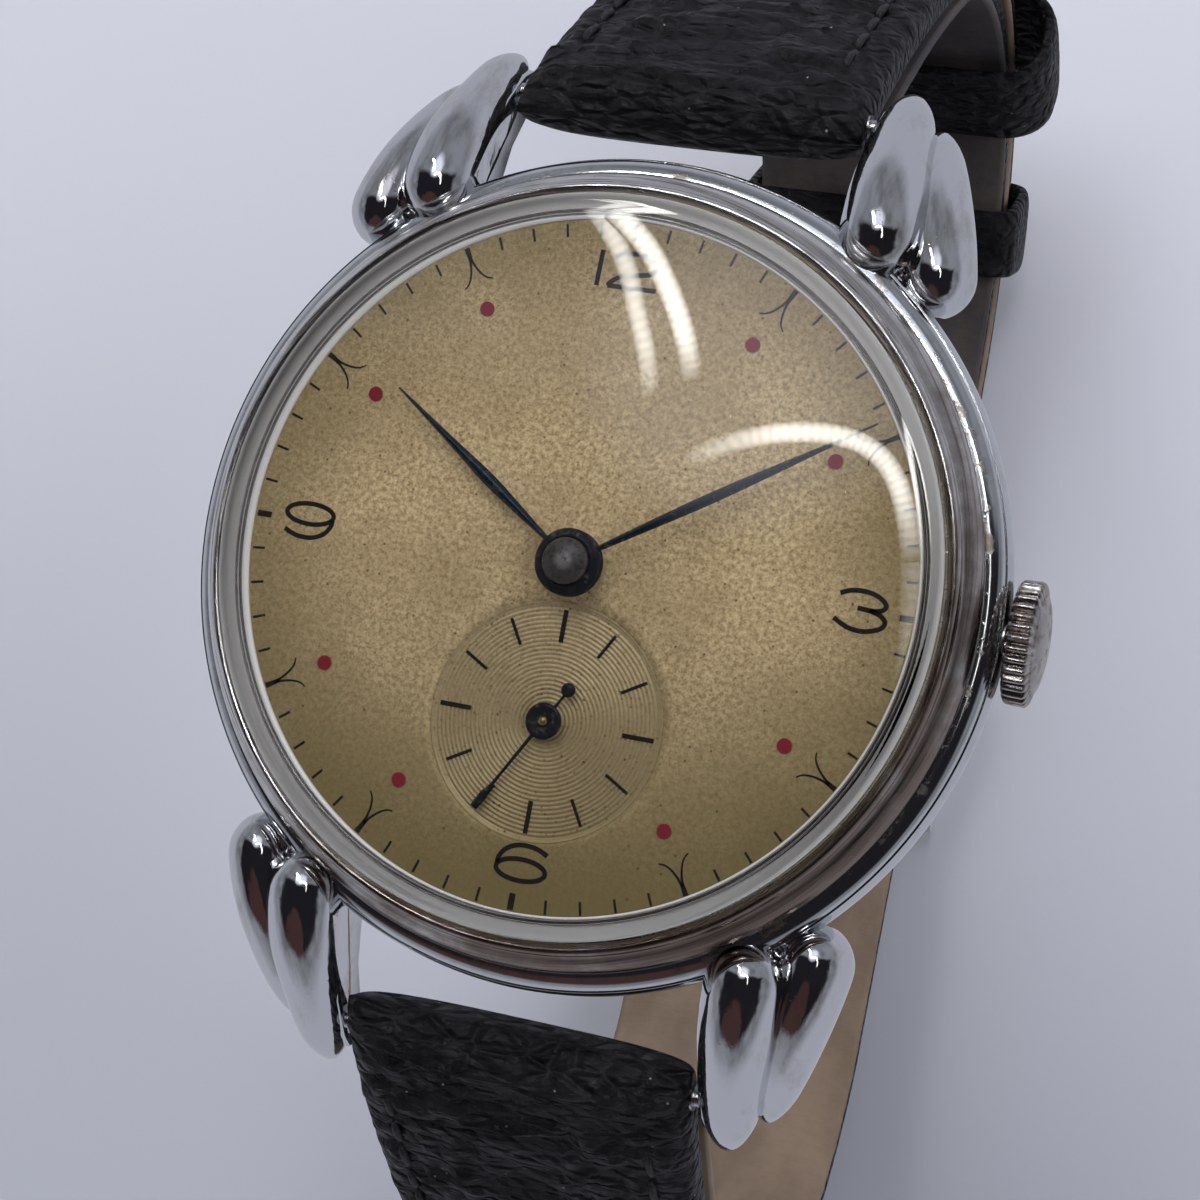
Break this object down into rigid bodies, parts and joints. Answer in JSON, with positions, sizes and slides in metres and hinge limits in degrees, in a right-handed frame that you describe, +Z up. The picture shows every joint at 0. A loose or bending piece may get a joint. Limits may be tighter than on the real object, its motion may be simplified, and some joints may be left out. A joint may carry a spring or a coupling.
{
  "type": "wristwatch",
  "caption": "Manual-wind dress wristwatch with sub-seconds dial, teardrop lugs, domed crystal and a closed black leather strap on a pin buckle",
  "frame": {"origin": "centre of the case back's flat outer face", "axes": "+Z up through the dial, +Y towards 12 o'clock, +X towards the crown at 3 o'clock"},
  "size_m": [0.0376, 0.0773, 0.0585],
  "materials": {
    "chrome": "polished plating with fine pits",
    "worn_nickel": "worn, brownish plating",
    "steel": "satin",
    "crown_steel": "worn, fluted",
    "acrylic": "clear, domed, lightly scratched",
    "dial_cream": "aged cream lacquer with brown specks",
    "dial_ink": "printed",
    "blued_steel": "blued steel",
    "gilt_brass": "gilt, grained",
    "nickel_silver": "rhodium-grey plating",
    "ruby": "synthetic ruby",
    "movement_steel": "polished steel",
    "black_leather": "fine-grained black with black stitching"
  },
  "bodies": {
    "case": {"mid_case": "chrome", "case_back": "steel", "bezel": "worn_nickel", "crystal": "acrylic", "casing_ring": "gilt_brass", "lug_12_left": "chrome", "lug_12_right": "chrome", "lug_6_left": "chrome", "lug_6_right": "chrome", "spring_bar_12": "steel", "spring_bar_6": "steel", "dial": "dial_cream", "dial_print": "dial_ink", "main_plate": "gilt_brass", "plate_jewels": "ruby", "bridge_jewels": "ruby", "barrel_bridge": "nickel_silver", "train_bridge": "nickel_silver", "balance_cock": "nickel_silver", "pallet_bridge": "nickel_silver", "movement_screws": "movement_steel", "click_spring": "movement_steel", "crown_tube": "steel", "hairspring": "movement_steel"},
    "seconds_arbor": {"fourth_wheel": "gilt_brass", "seconds_hand": "blued_steel"},
    "third_arbor": {"third_wheel": "gilt_brass"},
    "centre_arbor": {"centre_wheel": "gilt_brass", "cannon_pinion": "movement_steel", "minute_hand": "blued_steel"},
    "barrel_drum": {"barrel": "gilt_brass", "barrel_cover": "gilt_brass", "mainspring": "movement_steel"},
    "escape_arbor": {"escape_wheel": "movement_steel"},
    "minute_work": {"minute_wheel": "gilt_brass"},
    "hour_pipe": {"hour_wheel": "gilt_brass", "hour_hand": "blued_steel"},
    "setting_idler": {"setting_wheel": "movement_steel"},
    "pallets": {"pallet_fork": "movement_steel", "pallet_stones": "ruby"},
    "balance": {"balance_wheel": "gilt_brass"},
    "index_lever": {"regulator": "movement_steel"},
    "clutch_pinion": {"winding_pinion": "movement_steel"},
    "crown_and_stem": {"stem": "movement_steel", "crown": "crown_steel"},
    "clutch": {"sliding_pinion": "movement_steel"},
    "lever": {"setting_lever": "movement_steel"},
    "yoke_lever": {"yoke": "movement_steel"},
    "winding_idler": {"crown_wheel": "movement_steel"},
    "winding_arbor": {"barrel_arbor": "movement_steel", "ratchet_wheel": "movement_steel", "ratchet_screw": "movement_steel"},
    "pawl": {"click": "movement_steel"},
    "buckle_half": {"strap_short": "black_leather", "fixed_keeper": "black_leather", "buckle_bar": "steel"},
    "sliding_keeper": {"free_keeper": "black_leather"},
    "buckle": {"buckle_frame": "steel"},
    "tongue": {"buckle_tongue": "steel"},
    "hole_half": {"strap_long": "black_leather"}
  },
  "joints": [
    {"name": "seconds_turn", "type": "hinge", "parent": "case", "child": "seconds_arbor", "pos_m": [0, -0.00664, 0.003], "axis": [0, 0, -1], "continuous": true},
    {"name": "third_turn", "type": "hinge", "parent": "case", "child": "third_arbor", "pos_m": [0.00228, -0.00367, 0.003], "axis": [0, 0, -1], "continuous": true},
    {"name": "minutes_turn", "type": "hinge", "parent": "case", "child": "centre_arbor", "pos_m": [0, 0, 0.003], "axis": [0, 0, -1], "continuous": true},
    {"name": "barrel_turn", "type": "hinge", "parent": "case", "child": "barrel_drum", "pos_m": [0.00336, 0.00582, 0.003], "axis": [0, 0, -1], "continuous": true, "deforming": ["mainspring"]},
    {"name": "escape_turn", "type": "hinge", "parent": "case", "child": "escape_arbor", "pos_m": [-0.0031, -0.00777, 0.003], "axis": [0, 0, -1], "continuous": true},
    {"name": "minute_work_turn", "type": "hinge", "parent": "case", "child": "minute_work", "pos_m": [0.00282, 0.00103, 0.0055], "axis": [0, 0, -1], "continuous": true},
    {"name": "hours_turn", "type": "hinge", "parent": "case", "child": "hour_pipe", "pos_m": [0, 0, 0.006], "axis": [0, 0, -1], "continuous": true},
    {"name": "setting_idler_turn", "type": "hinge", "parent": "case", "child": "setting_idler", "pos_m": [0.00627, 0.00042, 0.0055], "axis": [0, 0, -1], "continuous": true},
    {"name": "pallet_rock", "type": "hinge", "parent": "case", "child": "pallets", "pos_m": [-0.00492, -0.00551, 0.003], "axis": [0, 0, 1], "range_deg": [-5, 5]},
    {"name": "balance_swing", "type": "hinge", "parent": "case", "child": "balance", "pos_m": [-0.0076, -0.0022, 0.003], "axis": [0, 0, 1], "range_deg": [-270, 270], "deforming": ["hairspring"]},
    {"name": "regulator_shift", "type": "hinge", "parent": "case", "child": "index_lever", "pos_m": [-0.0076, -0.0022, 0.00105], "axis": [0, 0, 1], "range_deg": [-15, 15]},
    {"name": "crown_turn", "type": "hinge", "parent": "case", "child": "clutch_pinion", "pos_m": [0.0108, 0, 0.004], "axis": [1, 0, 0], "continuous": true},
    {"name": "crown_pull", "type": "slide", "parent": "clutch_pinion", "child": "crown_and_stem", "axis": [1, 0, 0], "range_m": [0, 0.0009]},
    {"name": "clutch_shift", "type": "slide", "parent": "clutch_pinion", "child": "clutch", "axis": [1, 0, 0], "range_m": [-0.0005, 0]},
    {"name": "setting_lever_rock", "type": "hinge", "parent": "case", "child": "lever", "pos_m": [0.0124, -0.0022, 0.0047], "axis": [0, 0, -1], "range_deg": [0, 23.5]},
    {"name": "yoke_rock", "type": "hinge", "parent": "case", "child": "yoke_lever", "pos_m": [0.0087, 0.0037, 0.004], "axis": [0, 0, -1], "range_deg": [0, 10.5]},
    {"name": "crown_wheel_turn", "type": "hinge", "parent": "case", "child": "winding_idler", "pos_m": [0.00875, 0, 0.0015], "axis": [0, 0, 1], "continuous": true},
    {"name": "ratchet_turn", "type": "hinge", "parent": "case", "child": "winding_arbor", "pos_m": [0.00336, 0.00582, 0.003], "axis": [0, 0, 1], "continuous": true, "deforming": ["mainspring"]},
    {"name": "click_lift", "type": "hinge", "parent": "case", "child": "pawl", "pos_m": [-0.00247, 0.00892, 0.001], "axis": [0, 0, 1], "range_deg": [0, 10]},
    {"name": "strap_12_hinge", "type": "hinge", "parent": "case", "child": "buckle_half", "pos_m": [0, 0.0212, 0.0013], "axis": [1, 0, 0], "range_deg": [0, 90], "deforming": ["strap_long"]},
    {"name": "strap_6_hinge", "type": "hinge", "parent": "case", "child": "hole_half", "pos_m": [0, -0.0212, 0.0013], "axis": [-1, 0, 0], "range_deg": [0, 90], "deforming": ["strap_long"]},
    {"name": "keeper_slide", "type": "hinge", "parent": "buckle_half", "child": "sliding_keeper", "pos_m": [0, 0.01958, -0.02743], "axis": [1, 0, 0], "range_deg": [-8, 8]},
    {"name": "buckle_swing", "type": "hinge", "parent": "buckle_half", "child": "buckle", "pos_m": [0, 0, -0.04425], "axis": [1, 0, 0], "range_deg": [0, 50], "deforming": ["strap_long"]},
    {"name": "tongue_lift", "type": "hinge", "parent": "buckle", "child": "tongue", "pos_m": [0, 0, -0.04425], "axis": [1, 0, 0], "range_deg": [0, 50], "deforming": ["strap_long"]}
  ],
  "couplings": [
    {"joint": "third_turn", "follows": "seconds_turn", "ratio": -0.13333},
    {"joint": "minutes_turn", "follows": "seconds_turn", "ratio": 0.016667},
    {"joint": "barrel_turn", "follows": "seconds_turn", "ratio": -0.002381},
    {"joint": "escape_turn", "follows": "seconds_turn", "ratio": -10},
    {"joint": "minute_work_turn", "follows": "seconds_turn", "ratio": -0.0055556},
    {"joint": "hours_turn", "follows": "seconds_turn", "ratio": 0.0013889},
    {"joint": "setting_idler_turn", "follows": "seconds_turn", "ratio": 0.01},
    {"joint": "crown_wheel_turn", "follows": "crown_turn", "ratio": 0.5},
    {"joint": "ratchet_turn", "follows": "crown_turn", "ratio": -0.25},
    {"joint": "clutch_shift", "follows": "crown_pull", "ratio": -0.55556},
    {"joint": "setting_lever_rock", "follows": "crown_pull", "rad_per_m": 448.36},
    {"joint": "yoke_rock", "follows": "crown_pull", "rad_per_m": 198.41}
  ]
}
